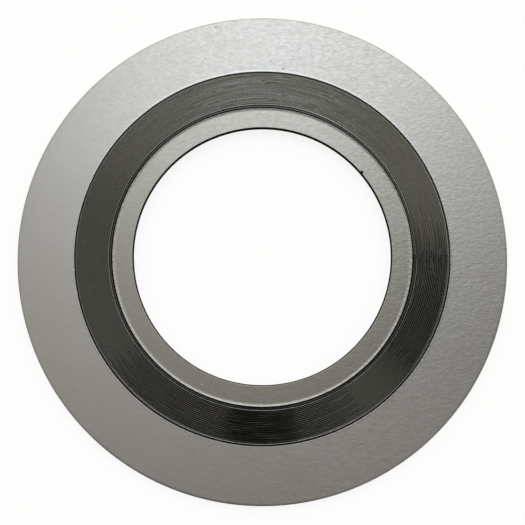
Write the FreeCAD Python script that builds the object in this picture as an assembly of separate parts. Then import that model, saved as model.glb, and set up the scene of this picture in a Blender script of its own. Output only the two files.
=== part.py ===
import FreeCAD, Part
import math
import os

# Spiral wound gasket with an inner ring and a centering ring, for a DN 100 raised face pipe
# flange. A thin steel strip with a chevron section is wound on edge into a flat spiral, with a
# strip of flexible graphite between its turns, and its first and last turns are bare steel.
# The turns are one solid, whose faces are folded along them. The inner ring's nose sits in the
# hollow of the innermost turn, and the ridge of the outermost turn sits in the groove of the
# centering ring. The winding is thicker than both rings, so the flanges meet it first.
# Z is the axis of the pipe, and the origin is the gasket's centre.

# From the bore outward: each ring's width is measured to the next one's edge
bore_dia = 102.6
inner_ring_width = 8.2
winding_width = 15.2
centering_ring_width = 22.2

# Thicknesses along the pipe
centering_ring_thickness = 3.0
inner_ring_thickness = 3.0
winding_thickness = 4.5

# Wound strip
strip_thickness = 0.2
ply_gap = 0.03
leg_angle = 25.0
inner_bare_plies = 3
outer_bare_plies = 4

# Folds on each face. Steel edges lie along every crest and every valley, with the graphite on
# the slopes between them, so each fold takes two turns of the strip
face_folds = 7
fold_depth = 0.1
crest_recess = 0.02

# Seats between the rings and the winding
groove_clearance = 0.05
groove_flank_angle = 14.0
nose_clearance = 0.05
nose_half_angle = 44.0
nose_tip_width = 0.4

# Broken edges
rim_break = 0.3
lip_break = 0.5
bore_break = 0.3

Z_AXIS = FreeCAD.Vector(0, 0, 1)
ORIGIN = FreeCAD.Vector(0, 0, 0)
HALF_TURN = 180.0
FULL_TURN = 360.0

# Diameters across the gasket
winding_inner_dia = bore_dia + 2 * inner_ring_width
winding_outer_dia = winding_inner_dia + 2 * winding_width
rim_dia = winding_outer_dia + 2 * centering_ring_width

# Each leg of the chevron leans inward by this much for each millimetre away from mid plane
lean = math.tan(math.radians(leg_angle))

# The strip's first ply starts with its inner face at this radius, and its last ply ends with
# its outer face at the other one, both at mid plane where the chevron points outward
ply_pitch = strip_thickness + ply_gap
innermost_ridge = winding_inner_dia / 2 + lean * winding_thickness / 2
outermost_ridge = winding_outer_dia / 2


def section_face(points):
    """A flat section in the XZ plane, from its (radius, height) points."""
    corners = [FreeCAD.Vector(radius, 0, height) for radius, height in points]
    return Part.Face(Part.makePolygon(corners + corners[:1]))


def turned_ring(points):
    """A ring turned about the pipe's axis from its section."""
    return section_face(points).revolve(ORIGIN, Z_AXIS, FULL_TURN)


def spiral_turn(points, pitch):
    """A section carried once round, on two half circles that meet smoothly, while its radius
    grows by the pitch. Its ends leave a step of one pitch on the +X side."""
    outward = FreeCAD.Vector(pitch / 2, 0, 0)
    first_centre = FreeCAD.Vector(-pitch / 4, 0, 0)
    second_centre = FreeCAD.Vector(pitch / 4, 0, 0)
    first_section = section_face(points)
    second_section = first_section.translated(outward)
    second_section.rotate(ORIGIN, Z_AXIS, HALF_TURN)
    return [
        first_section.revolve(first_centre, Z_AXIS, HALF_TURN),
        second_section.revolve(second_centre, Z_AXIS, HALF_TURN),
    ]


def mirrored_down(points):
    """The same outline below mid plane, in the opposite order."""
    return [(radius, -height) for radius, height in reversed(points)]


def centering_ring():
    """The outer ring: a flat plate ring with an open V groove round its inside."""
    top = centering_ring_thickness / 2
    rim = rim_dia / 2
    flank = math.tan(math.radians(groove_flank_angle))
    groove_root = outermost_ridge + groove_clearance
    lip = groove_root - flank * top
    upper_half = [
        (lip + flank * lip_break, top - lip_break),
        (lip + lip_break, top),
        (rim - rim_break, top),
        (rim, top - rim_break),
    ]
    return turned_ring([(groove_root, 0)] + upper_half + mirrored_down(upper_half))


def inner_ring():
    """The inner ring: a flat plate ring with a blunt nose round its outside."""
    top = inner_ring_thickness / 2
    bore = bore_dia / 2
    tip_height = nose_tip_width / 2
    nose = innermost_ridge - nose_clearance - lean * tip_height
    shoulder = nose - (top - tip_height) / math.tan(math.radians(nose_half_angle))
    upper_half = [
        (nose, tip_height),
        (shoulder, top),
        (bore + bore_break, top),
        (bore, top - bore_break),
    ]
    return turned_ring(upper_half + mirrored_down(upper_half))


def chevron_band():
    """The section through all the plies at the strip's first end, one ply short of the last."""
    top = winding_thickness / 2
    inside = innermost_ridge
    outside = outermost_ridge - ply_pitch
    return [
        (inside - lean * top, top),
        (inside, 0),
        (inside - lean * top, -top),
        (outside - lean * top, -top),
        (outside, 0),
        (outside - lean * top, top),
    ]


def folds_cutter(edge, pitch):
    """The section of what the folds take away from the upper face, from its inner edge."""
    top = winding_thickness / 2
    crest = top - crest_recess
    valley = crest - fold_depth
    outline = [(edge, top + fold_depth), (edge, crest)]
    for fold in range(face_folds):
        start = edge + fold * pitch
        outline += [(start + pitch / 2, valley), (start + pitch, crest)]
    outline.append((edge + face_folds * pitch, top + fold_depth))
    return outline


def winding():
    """The wound strip and its graphite, folded between the bare plies at both edges."""
    top = winding_thickness / 2
    first_edge = innermost_ridge - lean * top + inner_bare_plies * ply_pitch
    last_edge = outermost_ridge - lean * top - outer_bare_plies * ply_pitch
    fold_pitch = (last_edge - first_edge) / (face_folds + 1)
    upper_cutter = folds_cutter(first_edge, fold_pitch)
    lower_cutter = mirrored_down(upper_cutter)
    halves = spiral_turn(chevron_band(), ply_pitch)
    cutters = spiral_turn(upper_cutter, fold_pitch) + spiral_turn(lower_cutter, fold_pitch)
    return halves[0].fuse(halves[1]).cut(cutters)


PIECES = {
    "centering_ring": centering_ring,
    "inner_ring": inner_ring,
    "winding": winding,
}

os.makedirs("parts", exist_ok=True)
for name, make in PIECES.items():
    make().exportStep(f"parts/{name}.step")
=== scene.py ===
import math

import bmesh
import bpy
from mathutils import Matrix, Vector, noise as unevenness


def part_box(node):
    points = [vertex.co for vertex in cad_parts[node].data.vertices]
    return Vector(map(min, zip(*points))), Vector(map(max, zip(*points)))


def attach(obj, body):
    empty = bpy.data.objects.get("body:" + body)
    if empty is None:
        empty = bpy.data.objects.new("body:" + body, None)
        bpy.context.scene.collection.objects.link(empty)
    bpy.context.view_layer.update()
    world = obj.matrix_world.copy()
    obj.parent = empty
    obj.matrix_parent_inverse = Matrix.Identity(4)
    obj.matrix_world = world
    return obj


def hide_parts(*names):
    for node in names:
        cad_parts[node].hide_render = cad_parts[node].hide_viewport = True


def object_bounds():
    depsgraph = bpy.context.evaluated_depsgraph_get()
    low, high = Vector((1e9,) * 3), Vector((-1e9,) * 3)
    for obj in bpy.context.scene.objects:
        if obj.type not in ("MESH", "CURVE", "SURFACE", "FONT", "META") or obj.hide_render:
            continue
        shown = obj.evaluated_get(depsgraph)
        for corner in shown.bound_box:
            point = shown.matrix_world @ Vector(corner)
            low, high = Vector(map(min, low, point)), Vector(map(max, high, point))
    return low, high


# A spiral wound pipe gasket, which lies flat on a white floor. Its two steel rings are turned
# from their sections, and the strips of steel and graphite between them are wound.

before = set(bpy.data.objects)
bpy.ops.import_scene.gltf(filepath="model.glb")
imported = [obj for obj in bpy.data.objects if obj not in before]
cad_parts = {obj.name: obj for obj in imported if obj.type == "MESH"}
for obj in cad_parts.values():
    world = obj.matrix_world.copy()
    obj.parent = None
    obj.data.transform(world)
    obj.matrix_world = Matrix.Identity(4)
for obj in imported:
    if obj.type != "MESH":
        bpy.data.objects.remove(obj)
cad_low, cad_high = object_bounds()

MM = 0.001

# A whole turn in radians and in degrees
FULL_TURN = 2 * math.pi
FULL_CIRCLE = 360

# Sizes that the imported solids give
RIM_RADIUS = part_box("centering_ring")[1].y
RING_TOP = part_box("centering_ring")[1].z
WINDING_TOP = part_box("winding")[1].z
WINDING_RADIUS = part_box("winding")[1].x
NOSE_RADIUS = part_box("inner_ring")[1].x

# The centering ring. Its rim has the roll-over that blanking leaves on sheet steel
GROOVE_CLEARANCE = 0.05 * MM
GROOVE_FLANK = math.tan(math.radians(14.0))
GROOVE_ROOT = WINDING_RADIUS + GROOVE_CLEARANCE
LIP_RADIUS = GROOVE_ROOT - GROOVE_FLANK * RING_TOP
LIP_ROUNDING = 0.14 * MM
RIM_ROLL_WIDTH = 0.7 * MM
RIM_ROLL_DEPTH = 0.09 * MM
RIM_ROLL_ROUNDING = RIM_ROLL_WIDTH / 2
RIM_BREAK = 0.3 * MM

# The inner ring. Its nose is rolled, which raises the edge of each face a little
BORE_RADIUS = 51.3 * MM
BORE_BREAK = 0.2 * MM
NOSE_CLEARANCE = 0.05 * MM
NOSE_TIP_HALF_WIDTH = 0.2 * MM
NOSE_SHOULDER_RADIUS = 59.25 * MM
NOSE_SHOULDER_ROUNDING = 0.08 * MM
RAISED_EDGE_WIDTH = 0.7 * MM
RAISED_EDGE_HEIGHT = 0.19 * MM
RAISED_EDGE_ROUNDING = 0.45 * MM

# Both rings. A flat face has a narrow border beside each rounding, so that it shades flat, and
# a face is part of a cut wall where the height of its normal is less than a limit
RING_STEPS = 512
ROUNDING_SEGMENTS = 3
FLAT_MARGIN = 0.05 * MM
WALL_NORMAL_LIMIT = 0.75
SHARP_ANGLE = math.radians(20)

# The wound strips. The steel's section is a chevron that leans inward from its ridge. Turns
# are counted from the strip's inner end, and where something changes between two turns, the
# change begins a tail before and ends a tail after
LEAN = math.tan(math.radians(25.0))
STRIP_THICKNESS = 0.2 * MM
PLY_GAP = 0.03 * MM
INNERMOST_RIDGE = NOSE_RADIUS + NOSE_CLEARANCE + LEAN * NOSE_TIP_HALF_WIDTH
INNER_BARE_TURNS = 1
FILLED_TURNS = 19
OUTER_BARE_TURNS = 3
FIRST_CLEAN_TURN = 2
TAIL = 0.25
STEPS_PER_TURN = 256
JOIN_DISTANCE = 0.0005 * MM

# The steel's edges. Pressing has smeared them down over the graphite, at a slope that is
# uneven and eases from turn to turn, but for the clean plies, whose edges are crowned. The
# middle of an edge takes a share of that drop, or none where it is flat. Flats lie only on the
# lower side of the gasket, which begins and is full at two sines of the bearing
INNER_EDGE_CROWN = 0.018 * MM
OUTER_EDGE_CROWN = 0.035 * MM
SMEAR_SLOPE = math.tan(math.radians(14.2))
SLOPE_CHANGE = 0.14
UNEVEN_SHARE = 0.25
EDGE_MIDDLE_SHARE = 0.36
LOWER_SIDE = (0.1, -0.5)

# Where pressing has missed the strips, the steel stands proud of unpressed graphite, which
# is coloured darker there as painted shade: the middle and the half width of each place in
# degrees, and how ragged its ends are
PROUD_PLACES = [(238, 28), (291, 14), (341, 24)]
PROUD_SHARE = 0.85
MISSED_LIMIT = 0.5
RAGGEDNESS = 1.6

# The graphite between the turns. It lies deeper before the first clean turn, and it has
# lifted in places at its outer side
GRAPHITE_RECESS = 0.008 * MM
DEEPER_RECESS = 0.3 * MM
GRAPHITE_SEAM = 0.004 * MM
LIFTED_WIDTH = 0.06 * MM
LIFTED_HEIGHT = 0.014 * MM
LEAST_WIDTH = 0.02 * MM

# How these change along a strip: over what length, by which slice of the noise, and between
# which of its values. Each turn has a slice of its own, one step further on
SLICE_STEP = 1.9
UNEVEN_LENGTH = 20 * MM
STEEL_SLICE = 0
GRAPHITE_SLICE = 0.5
FLAT_LENGTH = 7 * MM
FLAT_SLICE = 7.3
FLAT_VALUES = (0.15, 0.4)
LIFTED_LENGTH = 9 * MM
LIFTED_SLICE = 3.1
LIFTED_VALUES = (0.25, 0.45)
MISSED_LENGTH = 9 * MM
MISSED_SLICE = 11.3

# The camera looks down on the gasket from a little below the middle of the picture. Its lens
# and sensor are in millimetres
CAMERA_TARGET = Vector((0.06, -3.05, 0)) * MM
CAMERA_DISTANCE = 250 * MM
CAMERA_TILT = math.radians(4.68)
CAMERA_CLIP_START = 10 * MM
LENS = 43.14
SENSOR_WIDTH = 36

# The studio: warm walls, a window behind the gasket, and what stands dark in front of it.
# Each patch has its bearing and height in degrees, how wide it is full and altogether,
# its colour, and its share over what lies behind it
WALLS = (0.698, 0.655, 0.606)
WINDOW = (2.76, 2.91, 3.05)
BLACK = (0.0, 0.0, 0.0)
PATCHES = [
    (88.7, 68.8, 2.7, 23.3, WINDOW, 1.0),
    (-104.8, 54.3, 58.7, 66.7, BLACK, 0.45),
    (-95.1, 42.0, 19.0, 29.5, BLACK, 1.0),
    (-4.3, 61.0, 11.5, 17.5, BLACK, 0.66),
    (-120.0, 38.5, 18.5, 27.0, BLACK, 1.0),
    (-22.0, 36.0, 13.0, 23.0, BLACK, 0.66),
]

# The white backdrop also shows in metal, up to where it ends: sines of two heights
BACKDROP_HEIGHTS = (0.05, 0.25)
WHITE = (1.0, 1.0, 1.0)

# The floor, in metres, and the white that is added where it shows
FLOOR_HALF_WIDTH = 3
FLOOR_PAINT = (0.35, 0.35, 0.35)
FLOOR_GLOW = 0.82

# Textures: how many waves go into a metre, how they are stretched, and how deep or strong they
# are. Noise keeps between two values. The sheet steel's orange peel grows deeper from the left
# side to the right, from one share to another
NOISE_VALUES = (0.3, 0.7)
CLOUD_SCALE = 45
GRAIN_SCALE = 2600
GRAIN_DEPTH = 0.012 * MM
PEEL_SCALE = 900
PEEL_STRETCH = (0.6, 1, 1)
PEEL_DEPTH = 0.06 * MM
PEEL_SIDES = (-60 * MM, 60 * MM)
PEEL_SHARES = (0.3, 1.0)
ROUGHNESS_CHANGE = 0.04
SCRATCH_SCALE = 1600
SCRATCH_STRETCH = (1, 0.06, 1)
SCRATCH_DEPTH = 0.003 * MM
SPECKLE_SCALE = 1800
SPECKLE_STRETCH = (0.28, 1, 1)
SPECKLE_DARKNESS = 0.16
CHATTER_SCALE = 800
WALL_SCALE = 1500
WALL_DEPTH = 0.01 * MM
WALL_ROUGHNESS = 0.6
SMEAR_SCALE = 900
FLAKE_SCALE = 1800
FLAKE_DEPTH = 0.003 * MM
GRAPHITE_ROUGHNESS = 0.17

# Small spots on the two rings: place and radius in mm, and colour. A spot is full to one share
# of its radius and gone at another
DARK_SPOT = (0.06, 0.055, 0.05)
DULL_SPOT = (0.22, 0.22, 0.22)
BLUE_SPOT = (0.16, 0.18, 0.22)
NICK = (0.02, 0.018, 0.016)
SPOT_FULL = 0.5
SPOT_GONE = 1.2
RIM_SPOTS = [
    (8.4, 75.5, 0.34, DARK_SPOT),
    (51.9, -77.6, 0.30, DULL_SPOT),
    (-18.9, 93.1, 0.40, BLUE_SPOT),
    (-22.9, 79.7, 0.30, DULL_SPOT),
    (-74.5, -6.1, 0.35, WHITE),
    (-73.1, -15.2, 0.35, WHITE),
]
BORE_SPOTS = [
    (39.7, 33.0, 0.85, NICK),
    (-23.5, -50.8, 0.30, WHITE),
    (33.0, -47.0, 0.25, DULL_SPOT),
]


# Shapes

def finished_piece(name, bm, materials, stands_for):
    """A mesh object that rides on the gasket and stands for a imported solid."""
    bmesh.ops.recalc_face_normals(bm, faces=bm.faces)
    mesh = bpy.data.meshes.new(name)
    bm.to_mesh(mesh)
    bm.free()
    mesh.shade_smooth()
    mesh.set_sharp_from_angle(angle=SHARP_ANGLE)
    for material in materials:
        mesh.materials.append(material)
    piece = bpy.data.objects.new(name, mesh)
    bpy.context.scene.collection.objects.link(piece)
    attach(piece, "root")
    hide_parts(stands_for)


def section_loop(bm, points):
    """A closed loop of edges in the XZ plane through (radius, height) points."""
    verts = [bm.verts.new((radius, 0, height)) for radius, height in points]
    for pair in zip(verts, verts[1:] + verts[:1]):
        bm.edges.new(pair)
    return verts


def below(upper):
    """The same corners below mid plane, in the opposite order."""
    return [(radius, -height, *rounding) for radius, height, *rounding in reversed(upper)]


def mark_walls(bm):
    """Gives a ring's cut walls, and what is steep of their edges, its second material."""
    bm.normal_update()
    for face in bm.faces:
        if abs(face.normal.z) < WALL_NORMAL_LIMIT:
            face.material_index = 1


def turned_ring(corners):
    """A ring turned from its section, whose corners have a radius, a height and a rounding."""
    bm = bmesh.new()
    verts = section_loop(bm, [(radius, height) for radius, height, rounding in corners])
    for vert, (radius, height, rounding) in zip(verts, corners):
        if rounding:
            bmesh.ops.bevel(bm, geom=[vert], offset=rounding, offset_type="OFFSET",
                            segments=ROUNDING_SEGMENTS, profile=0.5, affect="VERTICES",
                            material=-1)
    bmesh.ops.spin(bm, geom=bm.verts[:] + bm.edges[:], cent=(0, 0, 0), axis=(0, 0, 1),
                   dvec=(0, 0, 0), angle=FULL_TURN, steps=RING_STEPS, use_merge=True,
                   use_duplicate=False)
    mark_walls(bm)
    return bm


def build_centering_ring(materials):
    roll_start = RIM_RADIUS - RIM_ROLL_WIDTH
    upper = [
        (LIP_RADIUS, RING_TOP, LIP_ROUNDING),
        (LIP_RADIUS + LIP_ROUNDING + FLAT_MARGIN, RING_TOP, None),
        (roll_start - RIM_ROLL_ROUNDING - FLAT_MARGIN, RING_TOP, None),
        (roll_start, RING_TOP, RIM_ROLL_ROUNDING),
        (RIM_RADIUS, RING_TOP - RIM_ROLL_DEPTH, RIM_BREAK),
    ]
    bm = turned_ring([(GROOVE_ROOT, 0, None)] + upper + below(upper))
    finished_piece("centering_ring_plate", bm, materials,
                   "centering_ring")


def build_inner_ring(materials):
    edge_foot = NOSE_SHOULDER_RADIUS - RAISED_EDGE_WIDTH
    upper = [
        (NOSE_RADIUS, NOSE_TIP_HALF_WIDTH, None),
        (NOSE_SHOULDER_RADIUS, RING_TOP + RAISED_EDGE_HEIGHT, NOSE_SHOULDER_ROUNDING),
        (edge_foot, RING_TOP, RAISED_EDGE_ROUNDING),
        (edge_foot - RAISED_EDGE_ROUNDING - FLAT_MARGIN, RING_TOP, None),
        (BORE_RADIUS + BORE_BREAK + FLAT_MARGIN, RING_TOP, None),
        (BORE_RADIUS, RING_TOP, BORE_BREAK),
    ]
    bm = turned_ring(upper + below(upper))
    finished_piece("inner_ring_plate", bm, materials, "inner_ring")


def smooth_step(value, start, end):
    """Goes smoothly from 0 to 1 as a value passes from start to end."""
    share = min(max((value - start) / (end - start), 0), 1)
    return share * share * (3 - 2 * share)


def share_between(turn, first, last):
    """1 between two turns of the strip and 0 outside them, with smooth ends."""
    opened = smooth_step(turn, first - TAIL, first + TAIL)
    closed = smooth_step(turn, last - TAIL, last + TAIL)
    return opened - closed


def strip_radii():
    """Radius of the steel strip's inner face at mid plane, at every step along the strip."""
    last_filled = INNER_BARE_TURNS + FILLED_TURNS
    gap_turns = last_filled + OUTER_BARE_TURNS
    steel = (gap_turns + 2) * STRIP_THICKNESS + (gap_turns + 1) * PLY_GAP
    opening = (WINDING_RADIUS - INNERMOST_RIDGE - steel) / FILLED_TURNS
    rise = (STRIP_THICKNESS + PLY_GAP) / STEPS_PER_TURN
    radii = [INNERMOST_RIDGE + rise * step for step in range(STEPS_PER_TURN)]
    for step in range(gap_turns * STEPS_PER_TURN + 1):
        filled = share_between(step / STEPS_PER_TURN, INNER_BARE_TURNS, last_filled)
        radii.append(radii[step] + STRIP_THICKNESS + PLY_GAP + opening * filled)
    return radii


def chevron_leg(radius, height):
    """A corner of a chevron section whose ridge has this radius."""
    return (radius - LEAN * abs(height), height)


def wander(step, length, noise_slice):
    """A number about 0 that wanders along the strip, within about this length."""
    turn = step / STEPS_PER_TURN
    angle = FULL_TURN * turn
    reach = WINDING_RADIUS / length
    return unevenness.noise(Vector((reach * math.cos(angle), reach * math.sin(angle),
                                    SLICE_STEP * turn + noise_slice)))


def pressed_slope(step, noise_slice):
    """The slope that pressing has left, which is uneven and eases from turn to turn."""
    turns = INNER_BARE_TURNS + FILLED_TURNS + OUTER_BARE_TURNS
    easing = SLOPE_CHANGE * (0.5 - step / STEPS_PER_TURN / turns)
    uneven = UNEVEN_SHARE * wander(step, UNEVEN_LENGTH, noise_slice)
    return SMEAR_SLOPE * (1 + easing + uneven)


def standing_proud(step):
    """From 0 to 1, how far pressing has missed the steel edges here."""
    bearing = FULL_CIRCLE * step / STEPS_PER_TURN
    half_circle = FULL_CIRCLE / 2
    proud = 0
    for middle, half_width in PROUD_PLACES:
        away = abs((bearing - middle + half_circle) % FULL_CIRCLE - half_circle)
        proud += smooth_step(away, half_width, half_width / 2)
    return proud


def missed_by_pressing_and_painted_shade(step):
    """Whether the strips keep their own finish here, in places whose ends are ragged. The
    graphite's darker colour there is painted shade.
    """
    ragged = 1 + RAGGEDNESS * wander(step, MISSED_LENGTH, MISSED_SLICE)
    return standing_proud(step) * ragged > MISSED_LIMIT


def full_drop(step):
    """How far an edge is smeared down where pressing has reached it."""
    return pressed_slope(step, STEEL_SLICE) * STRIP_THICKNESS


def steel_drop(step):
    """How far the steel's edge is smeared down here."""
    return full_drop(step) * (1 - PROUD_SHARE * standing_proud(step))


def wind_strip(name, section, finish, first_turn, last_turn, materials):
    """A strip wound from one turn to another, over a whole number of half turns. At each step
    along it, section gives its corners, and finish the number of its material. One half turn
    is spun and copied on, and then each section goes to its own radius and the joins close."""
    bm = bmesh.new()
    corner_of = bm.verts.layers.int.new("corner")
    step_of = bm.verts.layers.int.new("step")
    first = int(first_turn * STEPS_PER_TURN)
    verts = section_loop(bm, section(first))
    for corner, vert in enumerate(verts):
        vert[corner_of] = corner
    half = STEPS_PER_TURN // 2
    bmesh.ops.spin(bm, geom=bm.verts[:] + bm.edges[:], cent=(0, 0, 0), axis=(0, 0, 1),
                   dvec=(0, 0, 0), angle=FULL_TURN / 2, steps=half, use_merge=False,
                   use_duplicate=False)
    for index, vert in enumerate(bm.verts):
        vert[step_of] = first + index // len(verts)
    half_turn = bm.verts[:] + bm.edges[:] + bm.faces[:]
    for count in range(1, int(2 * (last_turn - first_turn))):
        copied = bmesh.ops.duplicate(bm, geom=half_turn)["geom"]
        for vert in copied:
            if isinstance(vert, bmesh.types.BMVert):
                vert[step_of] += count * half
    for vert in bm.verts:
        radius, height = section(vert[step_of])[vert[corner_of]]
        angle = FULL_TURN * vert[step_of] / STEPS_PER_TURN
        vert.co = (radius * math.cos(angle), radius * math.sin(angle), height)
    bmesh.ops.remove_doubles(bm, verts=bm.verts, dist=JOIN_DISTANCE)
    ends = [edge for edge in bm.edges if edge.is_boundary]
    bmesh.ops.holes_fill(bm, edges=ends, sides=len(verts))
    for face in bm.faces:
        face.material_index = finish(min(vert[step_of] for vert in face.verts))
    finished_piece(name, bm, materials, "winding")


def build_steel_strip(radii, materials):
    """The steel strip, with its smeared, clean, darker inner and rubbed materials."""
    smeared, clean_edged, darker_inner, rubbed = range(len(materials))
    last_turn = len(radii) // STEPS_PER_TURN

    def section(step):
        turn = step / STEPS_PER_TURN
        clean = share_between(turn, FIRST_CLEAN_TURN, FIRST_CLEAN_TURN + 1)
        outermost = share_between(turn, last_turn - 1, last_turn + 1)
        inside = radii[step]
        middle = inside + STRIP_THICKNESS / 2
        outside = inside + STRIP_THICKNESS
        crown = INNER_EDGE_CROWN * clean + OUTER_EDGE_CROWN * outermost
        drop = steel_drop(step) * (1 - clean - outermost)
        lower_side = smooth_step(math.sin(FULL_TURN * turn), *LOWER_SIDE)
        flat = smooth_step(wander(step, FLAT_LENGTH, FLAT_SLICE), *FLAT_VALUES) * lower_side
        upper = [
            chevron_leg(outside, 0),
            chevron_leg(outside, WINDING_TOP - crown - drop),
            chevron_leg(middle, WINDING_TOP - EDGE_MIDDLE_SHARE * (1 - flat) * drop),
            chevron_leg(inside, WINDING_TOP - crown),
            chevron_leg(inside, 0),
        ]
        return upper + below(upper[1:-1])

    def finish(step):
        turn = step // STEPS_PER_TURN
        # The turns inside the first clean one are coloured darker
        if turn < FIRST_CLEAN_TURN:
            return darker_inner
        if turn in (FIRST_CLEAN_TURN, last_turn - 1):
            return clean_edged
        return rubbed if missed_by_pressing_and_painted_shade(step) else smeared

    wind_strip("steel_strip", section, finish, 0, last_turn, materials)


def build_graphite_strip(radii, materials):
    """The graphite strip, with its pressed material, and one for unpressed graphite whose
    darker colour is painted shade.
    """
    pressed_flat, painted_shade_graphite = range(len(materials))
    first_turn = INNER_BARE_TURNS - TAIL
    last_turn = INNER_BARE_TURNS + FILLED_TURNS + TAIL

    def section(step):
        turn = step / STEPS_PER_TURN
        pressed = smooth_step(turn, FIRST_CLEAN_TURN - TAIL, FIRST_CLEAN_TURN + TAIL)
        top = WINDING_TOP - GRAPHITE_RECESS - DEEPER_RECESS * (1 - pressed)
        inside = radii[step] + STRIP_THICKNESS + GRAPHITE_SEAM
        outside = radii[step + STEPS_PER_TURN] - GRAPHITE_SEAM
        lifted = smooth_step(wander(step, LIFTED_LENGTH, LIFTED_SLICE), *LIFTED_VALUES)
        valley = outside - LEAST_WIDTH - LIFTED_WIDTH * lifted
        low = top - full_drop(step) - pressed_slope(step, GRAPHITE_SLICE) * (valley - inside)
        upper = [
            chevron_leg(inside, 0),
            chevron_leg(inside, top - steel_drop(step)),
            chevron_leg(valley, low),
            chevron_leg(outside, low + LIFTED_HEIGHT * lifted),
            chevron_leg(outside, 0),
        ]
        return upper + below(upper[1:-1])

    def finish(step):
        # The darker graphite is painted shade
        return painted_shade_graphite if missed_by_pressing_and_painted_shade(step) else pressed_flat

    wind_strip("graphite_strip", section, finish, first_turn, last_turn, materials)


# Shader nodes

def add_node(tree, kind, inputs, **settings):
    """A node with its settings. An input takes another node's output, or a plain value."""
    node = tree.nodes.new(kind)
    for name, value in settings.items():
        setattr(node, name, value)
    for name, value in inputs.items():
        if isinstance(value, bpy.types.NodeSocket):
            tree.links.new(value, node.inputs[name])
        else:
            node.inputs[name].default_value = value
    return node


def calculate(tree, operation, first, second):
    node = add_node(tree, "ShaderNodeMath", {0: first, 1: second}, operation=operation)
    return node.outputs[0]


def noise(tree, position, scale, detail=2):
    node = add_node(tree, "ShaderNodeTexNoise",
                    {"Vector": position, "Scale": scale, "Detail": detail})
    return node.outputs["Fac"]


def map_range(tree, value, start, end, low, high, **settings):
    node = add_node(tree, "ShaderNodeMapRange",
                    {"Value": value, "From Min": start, "From Max": end,
                     "To Min": low, "To Max": high}, **settings)
    return node.outputs["Result"]


def spread(tree, value, low=0, high=1):
    """Stretches noise, which keeps near a half, over a range of values."""
    return map_range(tree, value, *NOISE_VALUES, low, high)


def rise_between(tree, value, start, end, low, high):
    """Goes smoothly from one number to another as a value passes from start to end."""
    return map_range(tree, value, start, end, low, high, interpolation_type="SMOOTHSTEP")


def mix_colours(tree, share, first, second, **settings):
    """Lays the second colour over the first by a share. Either is plain or from a node."""
    first, second = (colour if isinstance(colour, bpy.types.NodeSocket) else (*colour, 1)
                     for colour in (first, second))
    node = add_node(tree, "ShaderNodeMix", {"Factor": share, "A": first, "B": second},
                    data_type="RGBA", **settings)
    return node.outputs["Result"]


def bump(tree, height, distance, **over):
    """A bump, which may lie over another one's Normal and have a Strength of its own."""
    node = add_node(tree, "ShaderNodeBump", {"Height": height, "Distance": distance, **over})
    return node.outputs["Normal"]


def object_position(tree):
    return tree.nodes.new("ShaderNodeTexCoord").outputs["Object"]


def place_along(tree, position, axis):
    """How far a point lies along an axis."""
    return add_node(tree, "ShaderNodeSeparateXYZ", {0: position}).outputs[axis]


def stretched(tree, position, scale):
    node = add_node(tree, "ShaderNodeVectorMath", {0: position, 1: scale}, operation="MULTIPLY")
    return node.outputs[0]


def distance_from_axis(tree, position):
    """How far a point lies from the gasket's axis, whatever its height."""
    node = add_node(tree, "ShaderNodeVectorMath", {0: stretched(tree, position, (1, 1, 0))},
                    operation="LENGTH")
    return node.outputs["Value"]


def new_material(name, shader_kind):
    """A material with one shader, and its node tree."""
    material = bpy.data.materials.new(name)
    material.use_nodes = True
    tree = material.node_tree
    tree.nodes.clear()
    return material, tree, tree.nodes.new(shader_kind)


# Materials

def metal_material(name, roughness, metallic=1):
    """A material with a principled shader, joined to its output."""
    material, tree, shader = new_material(name, "ShaderNodeBsdfPrincipled")
    shader.inputs["Metallic"].default_value = metallic
    shader.inputs["Roughness"].default_value = roughness
    add_node(tree, "ShaderNodeOutputMaterial", {"Surface": shader.outputs["BSDF"]})
    return material, tree, shader


def with_spot(tree, position, colour, x, y, radius, spot_colour):
    """Lays a small round spot over a colour, at a place on the upper face in mm."""
    away = add_node(tree, "ShaderNodeVectorMath", {0: position, 1: (x * MM, y * MM, RING_TOP)},
                    operation="DISTANCE").outputs["Value"]
    share = rise_between(tree, away, SPOT_FULL * radius * MM, SPOT_GONE * radius * MM, 1, 0)
    return mix_colours(tree, share, colour, spot_colour)


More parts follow.
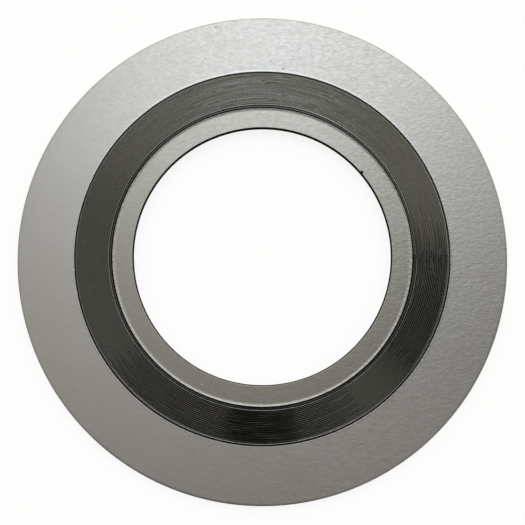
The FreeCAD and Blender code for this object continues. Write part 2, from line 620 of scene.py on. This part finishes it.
def rolled_steel(name, cool, warm, roughness, rubbed_from, rubbed_to, rubbed_share,
                 chatter_depth, spots):
    """Pickled sheet steel: a fine grain, a slight orange peel, drawn scratches, a cloudy tint
    and small spots. Between two distances from the axis its roughness goes down to a share,
    where a tool has rubbed and marked it."""
    material, tree, shader = metal_material(name, roughness)
    position = object_position(tree)
    cloud = spread(tree, noise(tree, position, CLOUD_SCALE, detail=3))
    grain = noise(tree, position, GRAIN_SCALE)
    peel = noise(tree, stretched(tree, position, PEEL_STRETCH), PEEL_SCALE, detail=3)
    scratches = noise(tree, stretched(tree, position, SCRATCH_STRETCH), SCRATCH_SCALE)
    speckle = noise(tree, stretched(tree, position, SPECKLE_STRETCH), SPECKLE_SCALE)
    chatter = noise(tree, position, CHATTER_SCALE)
    uneven = rise_between(tree, place_along(tree, position, "X"), *PEEL_SIDES, *PEEL_SHARES)
    distance = distance_from_axis(tree, position)
    rubbed = rise_between(tree, distance, rubbed_from, rubbed_to, 0, 1)
    dullness = rise_between(tree, distance, rubbed_from, rubbed_to, 1, rubbed_share)

    speckled = calculate(tree, "MULTIPLY", spread(tree, speckle), uneven)
    speckle_tint = [1 - SPECKLE_DARKNESS] * 3
    colour = mix_colours(tree, speckled, mix_colours(tree, cloud, cool, warm), speckle_tint,
                         blend_type="MULTIPLY")
    for spot in spots:
        colour = with_spot(tree, position, colour, *spot)
    tree.links.new(colour, shader.inputs["Base Color"])

    varied = spread(tree, peel, roughness - ROUGHNESS_CHANGE, roughness + ROUGHNESS_CHANGE)
    tree.links.new(calculate(tree, "MULTIPLY", varied, dullness), shader.inputs["Roughness"])

    grained = bump(tree, grain, GRAIN_DEPTH)
    scratched = bump(tree, scratches, SCRATCH_DEPTH, Normal=grained)
    peeled = bump(tree, peel, PEEL_DEPTH, Normal=scratched, Strength=uneven)
    chattered = bump(tree, chatter, chatter_depth, Normal=peeled, Strength=rubbed)
    tree.links.new(chattered, shader.inputs["Normal"])
    return material


def cut_edge(name, light, dark, metallic):
    """The dull wall that cutting leaves on sheet steel. Where it is near black and not metal,
    as at the bore, that darkness is also painted shade.
    """
    material, tree, shader = metal_material(name, WALL_ROUGHNESS, metallic)
    streaks = spread(tree, noise(tree, object_position(tree), WALL_SCALE, detail=3))
    tree.links.new(mix_colours(tree, streaks, light, dark), shader.inputs["Base Color"])
    tree.links.new(bump(tree, streaks, WALL_DEPTH), shader.inputs["Normal"])
    shader.inputs["Specular IOR Level"].default_value = 0.0
    return material


def strip_steel(name, dark, light, roughness):
    """The strip's edges, with graphite smeared over them unevenly."""
    material, tree, shader = metal_material(name, roughness)
    smear = spread(tree, noise(tree, object_position(tree), SMEAR_SCALE, detail=3))
    tree.links.new(mix_colours(tree, smear, dark, light), shader.inputs["Base Color"])
    return material


def graphite(name, dark, light):
    """Flexible graphite, whose flakes shine a little unevenly."""
    material, tree, shader = metal_material(name, GRAPHITE_ROUGHNESS)
    flakes = spread(tree, noise(tree, object_position(tree), FLAKE_SCALE, detail=3))
    tree.links.new(mix_colours(tree, flakes, dark, light), shader.inputs["Base Color"])
    tree.links.new(bump(tree, flakes, FLAKE_DEPTH), shader.inputs["Normal"])
    return material


# Studio

def seen_rays(tree, sent_on_share=1.0):
    """1 for the camera's rays, and a share for those that metal and glass send on."""
    path = tree.nodes.new("ShaderNodeLightPath")
    seen = path.outputs["Is Camera Ray"]
    for kind in ("Is Glossy Ray", "Is Transmission Ray"):
        sent_on = calculate(tree, "MULTIPLY", path.outputs[kind], sent_on_share)
        seen = calculate(tree, "MAXIMUM", seen, sent_on)
    return seen


def build_floor():
    """A pale floor, with plain white added for the rays by which it shows."""
    material, tree, paint = new_material("white_floor", "ShaderNodeBsdfDiffuse")
    paint.inputs["Color"].default_value = (*FLOOR_PAINT, 1)
    glow = add_node(tree, "ShaderNodeEmission",
                    {"Strength": calculate(tree, "MULTIPLY", seen_rays(tree), FLOOR_GLOW)})
    both = add_node(tree, "ShaderNodeAddShader",
                    {0: paint.outputs["BSDF"], 1: glow.outputs["Emission"]})
    add_node(tree, "ShaderNodeOutputMaterial", {"Surface": both.outputs["Shader"]})
    bm = bmesh.new()
    bmesh.ops.create_grid(bm, x_segments=1, y_segments=1, size=FLOOR_HALF_WIDTH)
    bmesh.ops.translate(bm, verts=bm.verts, vec=(0, 0, cad_low.z))
    mesh = bpy.data.meshes.new("floor")
    bm.to_mesh(mesh)
    bm.free()
    mesh.materials.append(material)
    floor = bpy.data.objects.new("floor", mesh)
    bpy.context.scene.collection.objects.link(floor)


def patch(tree, sky, direction, bearing, height, full, edge, colour, share):
    """Lays a round patch with a soft edge over the sky, and gives the new sky."""
    bearing, height = math.radians(bearing), math.radians(height)
    middle = (
        math.cos(height) * math.cos(bearing),
        math.cos(height) * math.sin(bearing),
        math.sin(height),
    )
    towards = add_node(tree, "ShaderNodeVectorMath", {0: direction, 1: middle},
                       operation="DOT_PRODUCT").outputs["Value"]
    inside = rise_between(tree, towards, math.cos(math.radians(edge)),
                          math.cos(math.radians(full)), 0, share)
    return mix_colours(tree, inside, sky, colour)


def build_world():
    """The studio's light, and the white backdrop for the rays by which it shows."""
    world = bpy.data.worlds.new("studio")
    world.use_nodes = True
    bpy.context.scene.world = world
    tree = world.node_tree
    tree.nodes.clear()
    direction = tree.nodes.new("ShaderNodeTexCoord").outputs["Generated"]
    sky = WALLS
    for values in PATCHES:
        sky = patch(tree, sky, direction, *values)
    studio = add_node(tree, "ShaderNodeBackground", {"Color": sky})
    white = add_node(tree, "ShaderNodeBackground", {"Color": (*WHITE, 1)})
    backdrop = rise_between(tree, place_along(tree, direction, "Z"), *BACKDROP_HEIGHTS, 1, 0)
    mix = add_node(tree, "ShaderNodeMixShader",
                   {"Fac": seen_rays(tree, backdrop), 1: studio.outputs["Background"],
                    2: white.outputs["Background"]})
    add_node(tree, "ShaderNodeOutputWorld", {"Surface": mix.outputs["Shader"]})


def build_camera():
    data = bpy.data.cameras.new("camera")
    data.lens = LENS
    data.sensor_width = SENSOR_WIDTH
    data.clip_start = CAMERA_CLIP_START
    camera = bpy.data.objects.new("camera", data)
    back = Vector((0, -math.sin(CAMERA_TILT), math.cos(CAMERA_TILT)))
    camera.location = CAMERA_TARGET + back * CAMERA_DISTANCE
    camera.rotation_euler = (CAMERA_TILT, 0, 0)
    bpy.context.scene.collection.objects.link(camera)
    bpy.context.scene.camera = camera


# The gasket

build_centering_ring([
    rolled_steel("centering_ring_steel", cool=(0.625, 0.622, 0.596), warm=(0.61, 0.60, 0.567),
                 roughness=0.378, rubbed_from=LIP_RADIUS + 1.1 * MM,
                 rubbed_to=LIP_RADIUS + 0.77 * MM, rubbed_share=0.8, chatter_depth=0.03 * MM,
                 spots=RIM_SPOTS),
    cut_edge("rim_wall", light=(0.16, 0.163, 0.163), dark=(0.07, 0.07, 0.068), metallic=1.0),
])
build_inner_ring([
    rolled_steel("inner_ring_steel", cool=(0.45, 0.45, 0.402), warm=(0.436, 0.421, 0.377),
                 roughness=0.306, rubbed_from=NOSE_SHOULDER_RADIUS - 0.98 * MM,
                 rubbed_to=NOSE_SHOULDER_RADIUS - 0.56 * MM, rubbed_share=0.9,
                 chatter_depth=0.08 * MM, spots=BORE_SPOTS),
    # The bore's wall: a dark cut edge, made near black without reflection as painted shade
    cut_edge("bore_wall_painted_shade", light=(0.03, 0.028, 0.025), dark=(0.018, 0.016, 0.014),
             metallic=0.0),
])
radii = strip_radii()
build_steel_strip(radii, [
    strip_steel("smeared_strip", dark=(0.16, 0.165, 0.148), light=(0.22, 0.226, 0.202),
                roughness=0.22),
    strip_steel("clean_strip", dark=(0.28, 0.28, 0.265), light=(0.42, 0.42, 0.40),
                roughness=0.28),
    # Darker, for the turns inside the first clean one
    strip_steel("darker_inner_strip", dark=(0.11, 0.112, 0.102), light=(0.16, 0.16, 0.15),
                roughness=0.34),
    strip_steel("rubbed_strip", dark=(0.215, 0.218, 0.207), light=(0.325, 0.327, 0.316),
                roughness=0.22),
])
build_graphite_strip(radii, [
    graphite("graphite", dark=(0.130, 0.136, 0.120), light=(0.176, 0.183, 0.162)),
    # Darker where pressing missed the strips: painted shade
    graphite("unpressed_graphite_painted_shade", dark=(0.048, 0.049, 0.045), light=(0.066, 0.068, 0.062)),
])

build_floor()
build_world()
build_camera()
bpy.context.scene.view_settings.view_transform = "Standard"
